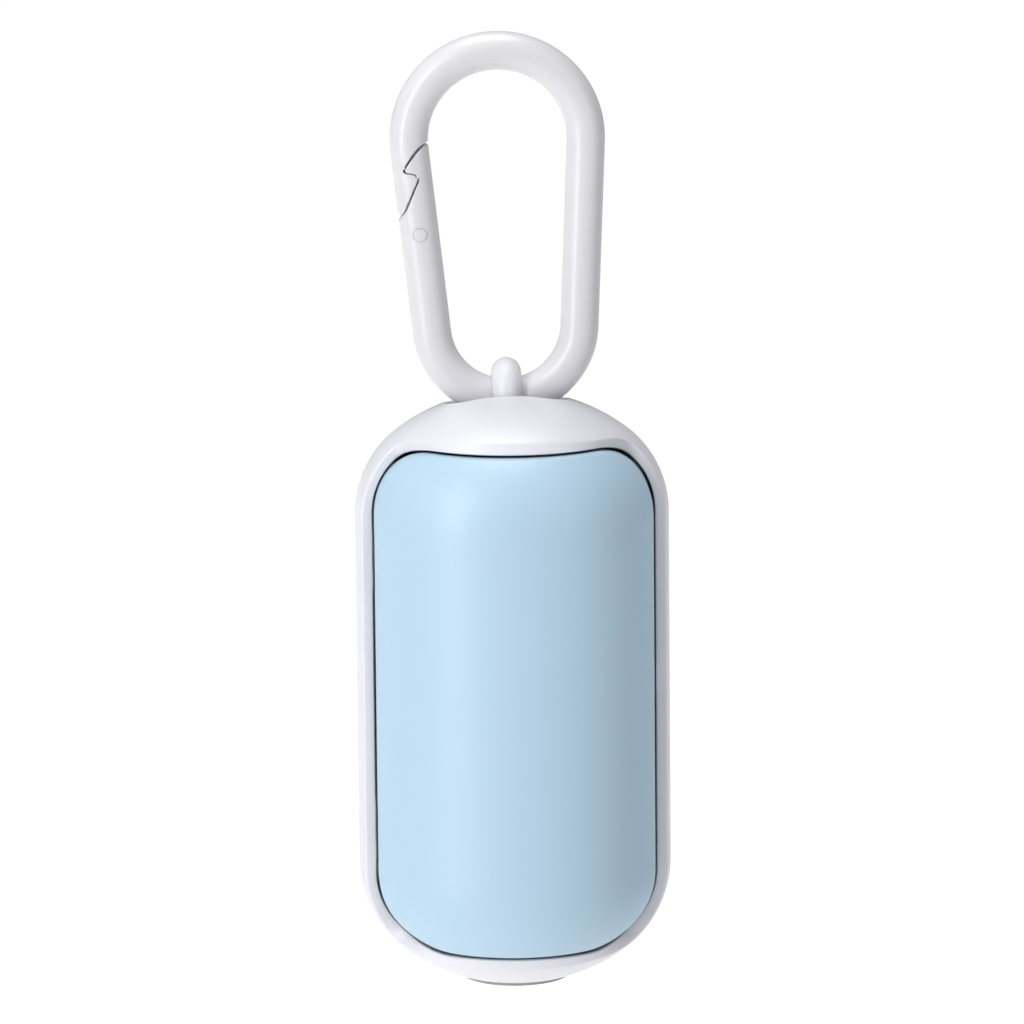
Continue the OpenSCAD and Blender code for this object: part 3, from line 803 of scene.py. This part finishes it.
def bend_stations(radius, up, start, end, steps):
    """(middle, outward) along a bend, by its angle from the right."""
    stations = []
    for i in range(steps + 1):
        turn = start + (end - start) * i / steps
        out = Vector((math.cos(turn), 0, math.sin(turn)))
        stations.append((LOOP @ (Vector((0, 0, up)) + out * radius), LOOP.to_3x3() @ out))
    return stations


def leg_stations(side, low, high, steps):
    frame_of = leg_frame(side)
    out = frame_of.to_3x3() @ Vector((side, 0, 0))
    return [(frame_of @ Vector((0, 0, low + (high - low) * i / steps)), out) for i in range(steps + 1)]


print("the loop stands", round(LOW_BEND_Z + BEND_GAP + TOP_BEND_R + BAR_R - CASE_H, 1), "mm over the case")

# %% [markdown]
# ## The bar
# Really the loop is one moulding, whose left leg bends inwards below the cut to let a
# lead's handle in. One mesh couldn't do that. So the bar comes in two pieces, the fixed
# part and the springy leg, lofted with the same rings, with one seam at the lower bend.

# %% The bar
def bar(stations, segments=48):
    """A round bar along stations, with its two ends closed."""
    turns = [2 * math.pi * k / segments for k in range(segments)]
    return loft([[middle + (out * math.cos(a) + Vector((0, 1, 0)) * math.sin(a)) * BAR_R for a in turns]
                 for middle, out in stations], fill=True)


seam_turn = -math.pi + LEG_LEAN - SEAM_UP / LOW_BEND_R
fixed = (bend_stations(LOW_BEND_R, 0, seam_turn, -LEG_LEAN, 96) + leg_stations(1, 0, LEG_L, 20)[1:]
         + bend_stations(TOP_BEND_R, BEND_GAP, -LEG_LEAN, math.pi + LEG_LEAN, 130)[1:]
         + leg_stations(-1, LEG_L, 13.5, 16)[1:])
springy = (bend_stations(LOW_BEND_R, 0, seam_turn, -math.pi + LEG_LEAN, 6)
           + leg_stations(-1, 0, 6, 22)[1:] + leg_stations(-1, 6, LEG_L, 20)[1:]
           + bend_stations(TOP_BEND_R, BEND_GAP, math.pi + LEG_LEAN, math.pi - 0.2, 6)[1:])
print("stations", len(fixed), "and", len(springy))

# %% [markdown]
# ## Edges of the cut
# The hook and the gate meet in a Z-shaped cut right through the bar, open by a hair. One
# line moved sideways would leave a gap of one width, but this gap is wider on its slopes.
# So there are two lines, in bar radii to the side and millimetres up: the hook's edge and
# the gate's. Cutting their corners off twice rounds them.

# %% Edges of the cut
HOOK_EDGE = [(1.5, 26.9), (1.1, 26.15), (1.05, 25.85), (0.95, 25.76), (0.76, 25.73), (0.54, 25.45),
             (0.25, 24.87), (0, 24.14), (-0.24, 23.43), (-0.39, 22.95), (-0.47, 22.64),
             (-0.49, 22.4), (-0.45, 22.17), (-0.36, 22.02), (-0.24, 21.94), (-0.07, 21.84),
             (0.08, 21.69), (0.18, 21.39), (0.21, 21.07), (0.17, 20.77), (0.03, 20.21),
             (-0.18, 19.29), (-0.36, 18.4), (-0.53, 17.55), (-0.68, 16.93), (-0.79, 16.56),
             (-0.91, 16.4), (-1.0, 16.42), (-1.06, 16.7), (-1.5, 17.1)]
GATE_EDGE = [(1.5, 24.1), (1.06, 24.5), (1.04, 24.88), (0.95, 25.31), (0.83, 25.45), (0.7, 25.25),
             (0.56, 25.03), (0.29, 24.49), (0.06, 23.86), (-0.17, 23.2), (-0.33, 22.68),
             (-0.37, 22.43), (-0.33, 22.19), (-0.22, 22.08), (-0.03, 21.98), (0.14, 21.79),
             (0.27, 21.49), (0.31, 21.13), (0.28, 20.78), (0.15, 20.22), (-0.06, 19.26),
             (-0.26, 18.33), (-0.44, 17.48), (-0.58, 16.93), (-0.7, 16.57), (-0.81, 16.25),
             (-0.93, 15.86), (-1.1, 15.5), (-1.5, 15.2)]


def rounded(points, times=2):
    """Cuts the corners off a line, so it turns softly."""
    for _ in range(times):
        inner = [tuple(a + (b - a) * t for a, b in zip(p, q))
                 for p, q in zip(points, points[1:]) for t in (0.25, 0.75)]
        points = [points[0]] + inner + [points[-1]]
    return points


print("points", len(rounded(HOOK_EDGE)), "and", len(rounded(GATE_EDGE)))

# %% [markdown]
# ## Hook and gate
# The hook is what stays of the fixed bar when all on the gate's side of its edge is cut
# away. The gate is what the springy bar has in common with such a prism of its own. As
# each keeps to its own line, the two never touch.

# %% Hook and gate
LOOP_WHITE = plastic("loop_white", (0.73, 0.72, 0.75), 0.33, 0.025, coat=0.15)
BAR_CREASE = 50


def gate_prism(edge, low):
    """Everything on the gate's side of an edge line and above low, as a bar through the leg."""
    line = [(x * BAR_R, z) for x, z in rounded(edge)]
    left, right = -2.6 * BAR_R, 2.4 * BAR_R
    bm = prism(line + [(left, edge[-1][1]), (left, low), (right, low), (right, edge[0][1])], -4, 4)
    bmesh.ops.transform(bm, matrix=leg_frame(-1) @ Matrix.Rotation(math.pi / 2, 4, "X"), verts=bm.verts)
    return bm


snap_loop = finish_mesh(bar(fixed), "snap_loop", LOOP_WHITE, "loop", ["carabiner_loop"],
                        sharp=BAR_CREASE)
cut(snap_loop, [gate_prism(HOOK_EDGE, 8)])
gate_leg = finish_mesh(bar(springy), "gate_leg", LOOP_WHITE, None, ["carabiner_gate"],
                       sharp=BAR_CREASE)
cut(gate_leg, [gate_prism(GATE_EDGE, -9)], "INTERSECT")

# %% [markdown]
# ## Moulding mark
# Below the cut the leg shows a small shallow ring, such as an ejector pin leaves in a
# moulding. A bump in the material would vanish from the side, so it is a real groove: a
# thin tube, spun from its section and bent to follow the bar, cut 0.13 mm deep.

# %% Moulding mark
MARK_UP, MARK_R, MARK_DEPTH = 13.7, 1.0, 0.13


def spun(profile, steps=64, close=False):
    """A closed (radius, height) profile turned about the z axis."""
    bm = bmesh.new()
    verts = [bm.verts.new((r, 0, z)) for r, z in profile]
    edges = [bm.edges.new((verts[i], verts[i + 1])) for i in range(len(verts) - 1)]
    if close:
        edges.append(bm.edges.new((verts[-1], verts[0])))
    bmesh.ops.spin(bm, geom=verts + edges, axis=(0, 0, 1), cent=(0, 0, 0), angle=2 * math.pi, steps=steps,
                   use_merge=True)
    bmesh.ops.remove_doubles(bm, verts=bm.verts, dist=1e-4)
    bmesh.ops.recalc_face_normals(bm, faces=bm.faces)
    return bm


mark = spun([(MARK_R - 0.17, -1.0), (MARK_R - 0.15, 0.0), (MARK_R, 0.0), (MARK_R + 0.02, -1.0)], close=True)
for v in mark.verts:
    v.co.z += BAR_R - math.sqrt(BAR_R ** 2 - v.co.x ** 2)
bmesh.ops.transform(mark, matrix=leg_frame(-1) @ Matrix.Translation((0, -BAR_R + MARK_DEPTH, MARK_UP))
                    @ Matrix.Rotation(math.radians(-90), 4, "X"), verts=mark.verts)
cut(gate_leg, [mark])

# %% [markdown]
# ## Soft edges at the cut
# Moulded edges are never sharp, and a knife edge catches no light. A Bevel modifier would
# take every sharp edge, also at the seam, so the edges are picked by where they lie. The
# inner corner has no room for a bevel.

# %% Soft edges at the cut
TRIM, CUT_LOW, CUT_HIGH = 0.1, 14.9, 28
TO_LEG = (CASE @ leg_frame(-1)).inverted()


def trim_edges(piece, offset, sharp, where=lambda co: True):
    """Bevels the sharp edges of a piece, where its points pass a test."""
    bm = bmesh.new()
    bm.from_mesh(piece.data)
    bmesh.ops.remove_doubles(bm, verts=bm.verts, dist=0.04 * MM)
    edges = [e for e in sharp_edges(bm, sharp) if all(where(v.co) for v in e.verts)]
    bevel(bm, edges, offset * MM, 2, clamp=False)
    bmesh.ops.recalc_face_normals(bm, faces=bm.faces)
    bm.to_mesh(piece.data)
    bm.free()
    soften(piece, 50)
    return len(edges)


def near_cut(corner):
    """A test that is true along the cut, except round its inner corner."""
    def test(co):
        at = TO_LEG @ co
        return CUT_LOW < at.z < CUT_HIGH and math.hypot(at.x - corner[0], at.z - corner[1]) > 0.5
    return test


print("bevelled", trim_edges(snap_loop, TRIM, 50, near_cut((-1.26, 22.45))),
      trim_edges(gate_leg, TRIM, 50, near_cut((0.8, 21.2))), "edges at the cut")
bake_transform(gate_leg)

# %% [markdown]
# ## The eye's outline
# The lug is a small closed eye on a foot that the two shells trap: from the side, an arch
# over straight flanks. It could be drawn point by point. A test and halving, as for the
# opening, gives its reach in any direction from the middle of the eye.

# %% The eye's outline
LUG_BORE, LUG_HALF, LUG_WIDTH, LUG_PEAK = 2.995, 4.445, 4.0, 84.545
LUG_BOTTOM = POCKET_FLOOR - 1.0


def lug_outside(turn):
    """The lug's outer contour along a direction from the middle of the eye, in (y, z)."""
    aim = Vector((math.cos(turn), math.sin(turn)))

    def inside(d):
        y, z = aim.x * d, BAR_Z + aim.y * d
        arch = LUG_PEAK - LUG_HALF
        if z > arch:
            return math.hypot(y, z - arch) < LUG_HALF
        return abs(y) < LUG_HALF and z > LUG_BOTTOM

    return far_in(inside, 8)


print("the eye is", round(lug_outside(math.pi / 2) - LUG_BORE, 2), "mm thick at its top")

# %% [markdown]
# ## Hanging lug
# In section the eye is D-shaped: half-round outside and flat inside, with soft corners. A
# torus is as wide all round and can't grow a foot. So the rings of the loft go round the
# eye, each one a D between the hole and the lug's outside.

# %% Hanging lug
LUG_SOFT, LUG_RINGS, LUG_SIDES = 0.3, 96, 4


def lug_section(turn):
    """One D-shaped ring of the eye: x across the lug, and outwards from the hole."""
    thick, half = lug_outside(turn) - LUG_BORE, LUG_WIDTH / 2
    limit = math.pi / 2
    if thick < half + LUG_SOFT * 1.2:
        limit = math.acos(max(min((LUG_SOFT * 1.2 - (thick - half)) / half, 1), 0))
    points = [(half * math.sin(a), thick - half + half * math.cos(a))
              for a in (limit * (k / 12 - 1) for k in range(25))]
    wide, top = points[-1]
    base = min(LUG_SOFT, top)
    quarter = [math.radians(18 * k) for k in range(1, 6)]
    points += [(wide, top + (base - top) * k / LUG_SIDES) for k in range(1, LUG_SIDES + 1)]
    points += [(wide - LUG_SOFT + LUG_SOFT * math.cos(a), base - base * math.sin(a)) for a in quarter]
    points += [((wide - LUG_SOFT) * (1 - k / 5), 0) for k in range(1, 11)]
    points += [(-wide + LUG_SOFT - LUG_SOFT * math.sin(a), base - base * math.cos(a)) for a in quarter]
    points += [(-wide, base + (top - base) * k / LUG_SIDES) for k in range(1, LUG_SIDES)]
    aim = Vector((0, math.cos(turn), math.sin(turn)))
    return [Vector((LUG_X + x, LUG_Y, BAR_Z)) + aim * (LUG_BORE + t) for x, t in points]


finish_mesh(loft([lug_section(2 * math.pi * k / LUG_RINGS) for k in range(LUG_RINGS)], close=True),
            "lug", SHELL_WHITE, "case", ["hanging_lug"], sharp=60)

# %% [markdown]
# ## The outlet's section
# Bags are pulled through a soft lens with a crossed slit, on a short sleeve with a flange.
# It could be modelled from a cylinder, face by face. But a turned piece needs only half
# its section, here from the middle of the lens, up the sleeve and back along its inside.

# %% The outlet's section
FLANGE_R, FLANGE_Z, FLANGE_T = 9.4, 6.25, 1.0
SLEEVE_R, SLEEVE_WALL = 7.38, 1.1
LENS_R, LENS_LOW, LENS_T = 26.0, -0.4, 0.9


def lens(r, radius):
    return LENS_R + LENS_LOW - math.sqrt(radius ** 2 - r ** 2)


profile = [(0, lens(0, LENS_R))] + [(r, lens(r, LENS_R)) for r in (1.5, 3, 4.2, 5.2, 6.0, 6.5, 6.8)]
flange_top, sleeve_in, edge_soft = FLANGE_Z + FLANGE_T, SLEEVE_R - SLEEVE_WALL, 0.45
edge_z = lens(SLEEVE_R - edge_soft, LENS_R) + edge_soft
profile += [(SLEEVE_R - edge_soft + edge_soft * math.sin(a), edge_z - edge_soft * math.cos(a))
            for a in (math.radians(k * 15) for k in range(1, 7))]
profile += [(SLEEVE_R, FLANGE_Z - 0.3), (SLEEVE_R + 0.12, FLANGE_Z - 0.08), (SLEEVE_R + 0.4, FLANGE_Z),
            (FLANGE_R - 0.2, FLANGE_Z), (FLANGE_R - 0.06, FLANGE_Z + 0.06), (FLANGE_R, FLANGE_Z + 0.2),
            (FLANGE_R, flange_top - 0.2), (FLANGE_R - 0.2, flange_top),
            (sleeve_in + 0.2, flange_top), (sleeve_in, flange_top - 0.2)]
inner_r = LENS_R - LENS_T
profile += [(sleeve_in, lens(6.2, inner_r) + 0.5), (6.1, lens(6.0, inner_r) + 0.18)]
profile += [(r, lens(r, inner_r)) for r in (5.6, 4.6, 3.4, 2, 1)] + [(0, lens(0, inner_r))]
print("points of the section", len(profile))

# %% [markdown]
# ## Soft outlet
# Silicone rubber looks dull and slightly milky, with a coarser grain than the shells. Its
# slits could be dark lines in the material, but cut right through they stay true from
# every side. Their edges get a fine bevel.

# %% Soft outlet
OUTLET_GREY = plastic("outlet_grey", (0.34, 0.32, 0.30), 0.62, 0.05, grain=0.08)
SLIT_L, SLIT_W = 4.5, 0.15
outlet = finish_mesh(spun(profile, 96), "soft_outlet", OUTLET_GREY, "case", ["outlet_valve"],
                     sharp=45)
cut(outlet, [prism(rectangle(-a, a, -b, b), -2, 2) for a, b in ((SLIT_L, SLIT_W), (SLIT_W, SLIT_L))])
print("outlet edges", trim_edges(outlet, 0.07, 50))

# %% [markdown]
# ## Clamp ring
# A ring presses the outlet's flange to the case's floor. It only shows with the door open
# and the roll out, so a cylinder with a hole would almost do. Spun from a section with
# small chamfers it still catches the light as a moulding does.

# %% Clamp ring
CLAMP_Z, CLAMP_T, CLAMP_BORE, CHAMFER = 7.25, 0.9, 6.4, 0.15
top = CLAMP_Z + CLAMP_T
clamp = spun([(CLAMP_BORE, CLAMP_Z), (FLANGE_R, CLAMP_Z), (FLANGE_R, top - CHAMFER),
              (FLANGE_R - CHAMFER, top), (CLAMP_BORE + CHAMFER, top), (CLAMP_BORE, top - CHAMFER)],
             96, close=True)
finish_mesh(clamp, "clamp_ring", SHELL_WHITE, "case", ["valve_clamp_ring"], sharp=30)

# %% [markdown]
# ## Ground steel
# The pins are ground steel. Grinding leaves fine lines round a pin, which spread its
# highlight along it. The Anisotropic input does this too, but needs tangents. A noise that
# is stretched round the axis, in the roughness, needs none.

# %% Steel
STEEL, tree, shader, coords = finish_tree("pin_steel")
fill_in(shader, Metallic=1.0, Base_Color=(0.55, 0.56, 0.58, 1))
lines = noise(tree, coords, 1.0, 2.0, 0.5, stretch=(300.0, 300.0, 30000.0))
tree.links.new(spread(tree, lines, 0.2, 0.4), shader.inputs["Roughness"])
print("made", STEEL.name)

# %% [markdown]
# ## Hinge pins
# Two short pins, their ends chamfered for pressing in. A cylinder with a bevel would look
# the same, but the spin helper is there already and takes the whole section at once.

# %% Pins
PIN_R = 0.6
for name, middle in (("lower", HINGE_MIDDLES[0]), ("upper", HINGE_MIDDLES[1])):
    low, high = middle - HINGE_H / 2, middle + HINGE_H / 2
    pin = spun([(0, low), (PIN_R - 0.15, low), (PIN_R - 0.04, low + 0.05), (PIN_R, low + 0.18),
                (PIN_R, high - 0.18), (PIN_R - 0.04, high - 0.05), (PIN_R - 0.15, high), (0, high)], 32)
    bmesh.ops.translate(pin, verts=pin.verts, vec=(HINGE_X, HINGE_Y, 0))
    finish_mesh(pin, "pin_" + name, STEEL, "case", ["hinge_pin_" + name], sharp=40)

# %% [markdown]
# ## Bag roll
# The roll is thin film wound on a card core. It never lies quite even: its side has
# shallow folds, and its ends show the edges of the turns. A real spiral of film would
# cost a great many faces for something half hidden. So the folds are moved vertices, and
# the turns are fine steps in the end faces.

# %% Bag roll
FILM = plastic("bag_film", (0.22, 0.40, 0.34), 0.42, 0.08, 0.12, streak=(1.0, 1.0, 0.1), patchy=0.07)
ROLL_R, ROLL_Z, ROLL_L, CORE_R = 15.5, 12.45, 56.0, 6.0
TURN_DEPTH, FOLD_DEPTH, LAP = 0.12, 0.02, 0.2
radii = [CORE_R + (ROLL_R - CORE_R) * k / 38 for k in range(39)]
top_face = [(r, ROLL_Z + ROLL_L - (TURN_DEPTH if k % 2 else 0)) for k, r in enumerate(radii)]
side_rings = [(ROLL_R, ROLL_Z + ROLL_L * k / 28) for k in range(27, 0, -1)]
bottom_face = [(r, ROLL_Z + (TURN_DEPTH if k % 2 else 0)) for k, r in enumerate(radii)][::-1]
roll = spun(top_face + side_rings + bottom_face, 120, close=True)
for v in roll.verts:
    if math.hypot(v.co.x, v.co.y) > ROLL_R - 0.01:
        turn, z = math.atan2(v.co.y, v.co.x), v.co.z
        fold = math.sin(7 * turn + 0.05 * z) + 0.6 * math.sin(17 * turn - 0.11 * z) + math.sin(0.4 * z)
        lap = (turn / math.pi + 1) / 2
        shrink = 1 - (FOLD_DEPTH * (2.6 - fold) + LAP * (1 - lap)) / ROLL_R
        v.co.x, v.co.y = v.co.x * shrink, v.co.y * shrink
finish_mesh(roll, "bag_roll_film", FILM, "roll", ["bag_roll"], sharp=50)

# %% [markdown]
# ## Roll core
# The core is a tube of wound card, dull and a little cloudy. It has almost no bevel, as
# cut card has none, so its section is spun as it is, with the corner of the bore eased.

# %% Roll core
CARD = plastic("card_core", (0.50, 0.37, 0.24), 0.85, 0.12, 0.3)
CORE_WALL = 1.0
bore, top = CORE_R - CORE_WALL, ROLL_Z + ROLL_L
core = spun([(CORE_R, ROLL_Z), (CORE_R, top), (CORE_R - 0.2, top), (bore + 0.15, top), (bore, top - 0.2),
             (bore, ROLL_Z + 0.2), (bore + 0.15, ROLL_Z)], close=True)
finish_mesh(core, "card_tube", CARD, "roll", ["roll_core"], sharp=40)

# %% [markdown]
# ## Liner
# The liner is a beige cradle that carries the roll. It could be lofted again like the
# shells, but the constructed solid has its true shape and little of it ever shows. So it
# keeps its own mesh and only gets its finish.

# %% Liner
LINER_BEIGE = plastic("liner_beige", (0.62, 0.54, 0.43), 0.5, 0.04, patchy=0.06)
liner = bpy.data.objects["roll_liner"]
liner.data.materials.clear()
liner.data.materials.append(LINER_BEIGE)
print("materials", len(bpy.data.materials))

# %% [markdown]
# ## Camera
# The case is seen from a little above and a touch from the left, through a long lens, so
# its sides stay almost parallel. A constraint could aim the camera, but two angles and a
# distance say more plainly where it stands. It also leans by half a degree.

# %% Camera
FRAME_MM = 137.0
DISTANCE = 0.95
ELEVATION, AZIMUTH, ROLL = 10.5, 2.3, 0.53
target = CASE @ Vector((0, 0, 64.05))
camera_data = bpy.data.cameras.new("camera")
camera_data.sensor_width = 36
camera_data.angle = 2 * math.atan(FRAME_MM * MM / 2 / DISTANCE)
camera_data.clip_start, camera_data.clip_end = 0.05, 50
camera = put("camera", camera_data)
up_angle, side_angle = math.radians(ELEVATION), math.radians(AZIMUTH)
away = Vector((-math.sin(side_angle) * math.cos(up_angle), -math.cos(side_angle) * math.cos(up_angle),
               math.sin(up_angle)))
camera.location = target + away * DISTANCE
camera.rotation_euler = ((-away).to_track_quat("-Z", "Y").to_matrix()
                         @ Matrix.Rotation(math.radians(-ROLL), 3, "Z")).to_euler()
bpy.context.scene.camera = camera
print("the camera stands", DISTANCE, "m away")

# %% [markdown]
# ## Light
# White plastic on a white ground needs light that grades. A tall, narrow softbox at the
# left gives the door its upright highlight, one above lifts the crown, and a weak one
# keeps the right side open. A picture of a studio would do it in one step, but three
# lamps can be moved one by one.

# %% Light
world = bpy.data.worlds.new("room")
bpy.context.scene.world = world
world.use_nodes = True
fill_in(world.node_tree.nodes["Background"], Color=(0.97, 0.975, 1.0, 1), Strength=0.25)
bpy.context.scene.view_settings.view_transform = "Standard"


def soft_light(name, place_at, size, power):
    """A rectangular lamp that looks at the case from a place around it."""
    data = bpy.data.lights.new(name, "AREA")
    data.shape, data.energy = "RECTANGLE", power
    data.size, data.size_y = size
    lamp = put(name, data)
    lamp.location = target + Vector(place_at)
    lamp.rotation_euler = (-Vector(place_at)).to_track_quat("-Z", "Y").to_euler()
    print(name, power, "W")


soft_light("key", (-0.76, -0.74, 0.3), (0.2, 1.2), 8.0)
soft_light("top", (-0.05, 0.0, 0.9), (0.6, 0.5), 5.2)
soft_light("fill", (0.75, -0.85, 0.3), (0.6, 0.9), 1.7)

# %% [markdown]
# ## Floor
# The floor is plain, pale and far below, so no hard shadow shows on it. Lit only by the
# lamps it would be grey, and a brighter room would light the case from all sides. So the
# floor glows a little, less in a soft patch behind the case than round it.

# %% Floor
GLOW_NEAR, GLOW_FAR = 0.2, 0.8
GLOW_MIDDLE, GLOW_HALF, FLOOR_Z = (-0.9, 3.4), (2.6, 3.0), -0.45
bm = bmesh.new()
bmesh.ops.create_grid(bm, x_segments=2, y_segments=2, size=8)
bmesh.ops.translate(bm, verts=bm.verts, vec=(0, 0, FLOOR_Z))
floor_mesh = bpy.data.meshes.new("floor")
bm.to_mesh(floor_mesh)
bm.free()
floor = put("floor", floor_mesh)
pale, tree, shader, coords = finish_tree("pale")
fill_in(shader, Base_Color=(0.9, 0.9, 0.9, 1), Roughness=0.9, Emission_Color=(1, 1, 1, 1))
patch = node(tree, "ShaderNodeMapping", Scale=(1 / GLOW_HALF[0], 1 / GLOW_HALF[1], 1),
             Location=(-GLOW_MIDDLE[0] / GLOW_HALF[0], -GLOW_MIDDLE[1] / GLOW_HALF[1], -FLOOR_Z))
distance = tree.nodes.new("ShaderNodeVectorMath")
distance.operation = "LENGTH"
glow = node(tree, "ShaderNodeMapRange", From_Min=0.9, From_Max=1.3, To_Min=GLOW_FAR, To_Max=GLOW_NEAR)
tree.links.new(coords, patch.inputs["Vector"])
tree.links.new(patch.outputs["Vector"], distance.inputs[0])
tree.links.new(distance.outputs["Value"], glow.inputs["Value"])
tree.links.new(glow.outputs["Result"], shader.inputs["Emission Strength"])
floor_mesh.materials.append(pale)
print("floor", floor.dimensions[:])
